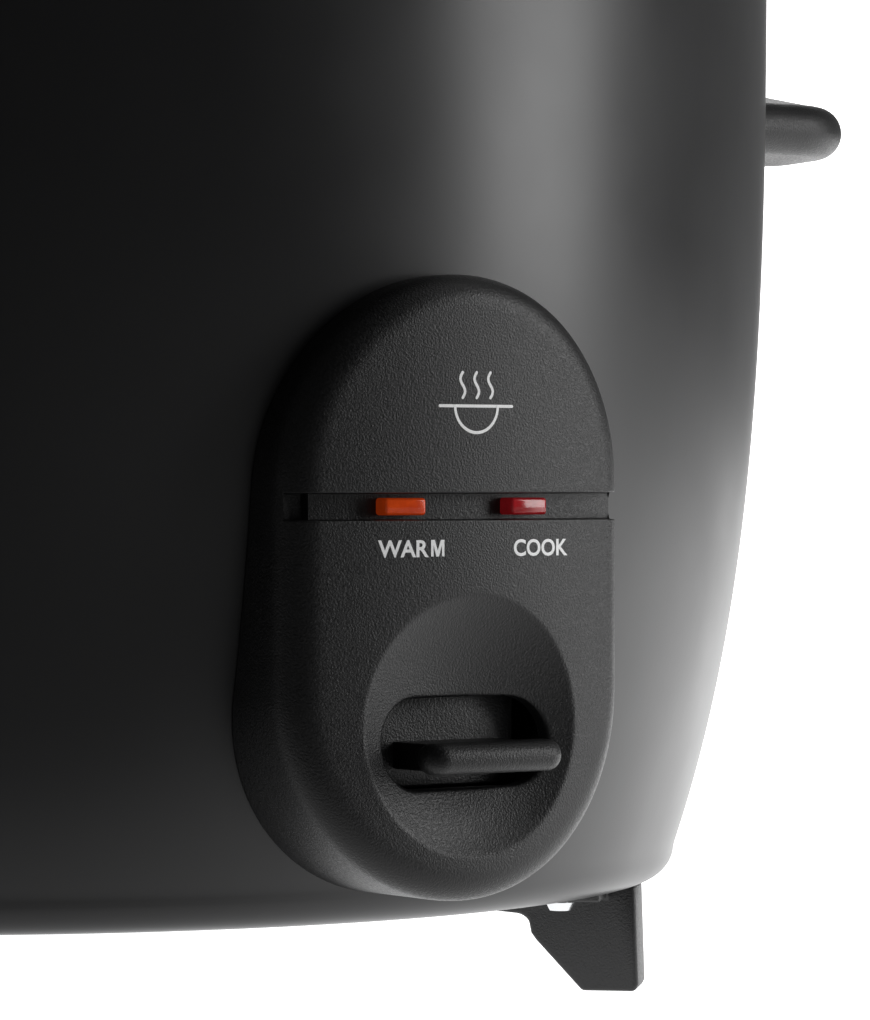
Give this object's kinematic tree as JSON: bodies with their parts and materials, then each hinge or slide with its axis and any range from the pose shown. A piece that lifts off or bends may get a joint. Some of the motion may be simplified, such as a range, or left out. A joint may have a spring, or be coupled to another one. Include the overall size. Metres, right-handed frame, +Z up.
{
  "type": "rice cooker",
  "caption": "Drum rice cooker with lift-out pot, glass lid, side handles and feet; its front panel has warm and cook lamps above a push-down lever.",
  "frame": {"origin": "middle of the footprint of the whole object, on the surface that the feet stand on", "axes": "+Z up, control panel faces -Y, handles lie along X; the drum's axis stands 6 mm behind the origin"},
  "size_m": [0.3084, 0.2623, 0.2341],
  "materials": {
    "drum_paint": "satin black paint on drawn steel",
    "black_plastic": "fine-textured black moulding",
    "liner_aluminium": "satin rolled sheet",
    "zinc_steel": "zinc-plated sheet",
    "bright_steel": "polished",
    "cast_aluminium": "cast and turned",
    "non_stick": "non-stick coating",
    "brass": "drawn pins",
    "ferrite": "ground ferrite",
    "mica": "mica sheet",
    "ceramic": "unglazed",
    "amber_lens": "clear orange-red moulding",
    "red_lens": "clear red moulding",
    "clear_glass": "tempered"
  },
  "bodies": {
    "housing": {"outer_shell": "drum_paint", "control_panel": "black_plastic", "handle_right": "black_plastic", "handle_left": "black_plastic", "power_inlet": "black_plastic", "microswitch": "black_plastic", "foot_front_right": "black_plastic", "foot_back_right": "black_plastic", "foot_back_left": "black_plastic", "foot_front_left": "black_plastic", "inner_liner": "liner_aluminium", "base_plate": "zinc_steel", "thermostat_housing": "zinc_steel", "lever_bracket": "zinc_steel", "lever_pin": "bright_steel", "sensor_spring": "bright_steel", "release_spring": "bright_steel", "panel_screw_low": "bright_steel", "panel_screw_high": "bright_steel", "plate_screw_1": "bright_steel", "plate_screw_2": "bright_steel", "plate_screw_3": "bright_steel", "inlet_screw_1": "bright_steel", "inlet_screw_2": "bright_steel", "foot_screw_front_right": "bright_steel", "foot_screw_back_right": "bright_steel", "foot_screw_back_left": "bright_steel", "foot_screw_front_left": "bright_steel", "handle_screw_right_1": "bright_steel", "handle_screw_right_2": "bright_steel", "handle_screw_left_1": "bright_steel", "handle_screw_left_2": "bright_steel", "heating_plate": "cast_aluminium", "inlet_pin_line": "brass", "inlet_pin_neutral": "brass", "inlet_pin_earth": "brass", "keep_warm_heater": "mica", "heater_terminal_1": "ceramic", "heater_terminal_2": "ceramic", "keep_warm_thermostat": "ceramic", "thermal_fuse": "ceramic", "lens_warm": "amber_lens", "lens_cook": "red_lens", "lamp_warm": "clear_glass", "lamp_cook": "clear_glass"},
    "pot": {"inner_pot": "non_stick"},
    "lid": {"lid_glass": "clear_glass", "lid_band": "bright_steel", "lid_knob": "black_plastic", "lid_washer": "bright_steel", "lid_screw": "bright_steel", "steam_vent": "bright_steel"},
    "lever": {"lever_knob": "black_plastic", "lever_arm": "bright_steel"},
    "magnet": {"thermostat_magnet": "ferrite", "pull_rod": "bright_steel"},
    "sensor": {"sensor_cap": "cast_aluminium", "ferrite_disc": "ferrite"},
    "plunger": {"switch_plunger": "black_plastic"}
  },
  "joints": [
    {"name": "pot_lift", "type": "slide", "parent": "housing", "child": "pot", "axis": [0, 0, 1], "range_m": [0, 0.13]},
    {"name": "lid_lift", "type": "slide", "parent": "pot", "child": "lid", "axis": [0, 0, 1], "range_m": [0, 0.06]},
    {"name": "cook_lever", "type": "hinge", "parent": "housing", "child": "lever", "pos_m": [0, -0.06805, 0.0381], "axis": [-1, 0, 0], "range_deg": [0, 4.8]},
    {"name": "magnet_drop", "type": "slide", "parent": "housing", "child": "magnet", "axis": [0, 0, 1], "range_m": [-0.0058, 0], "deforming": ["release_spring"]},
    {"name": "sensor_rise", "type": "slide", "parent": "housing", "child": "sensor", "axis": [0, 0, 1], "range_m": [0, 0.0036], "deforming": ["sensor_spring"]},
    {"name": "plunger_drop", "type": "slide", "parent": "housing", "child": "plunger", "axis": [0, 0, 1], "range_m": [-0.0012, 0]}
  ],
  "couplings": [
    {"joint": "magnet_drop", "follows": "cook_lever", "m_per_rad": -0.068},
    {"joint": "plunger_drop", "follows": "cook_lever", "m_per_rad": -0.014},
    {"joint": "sensor_rise", "follows": "pot_lift", "ratio": 0.0269}
  ]
}
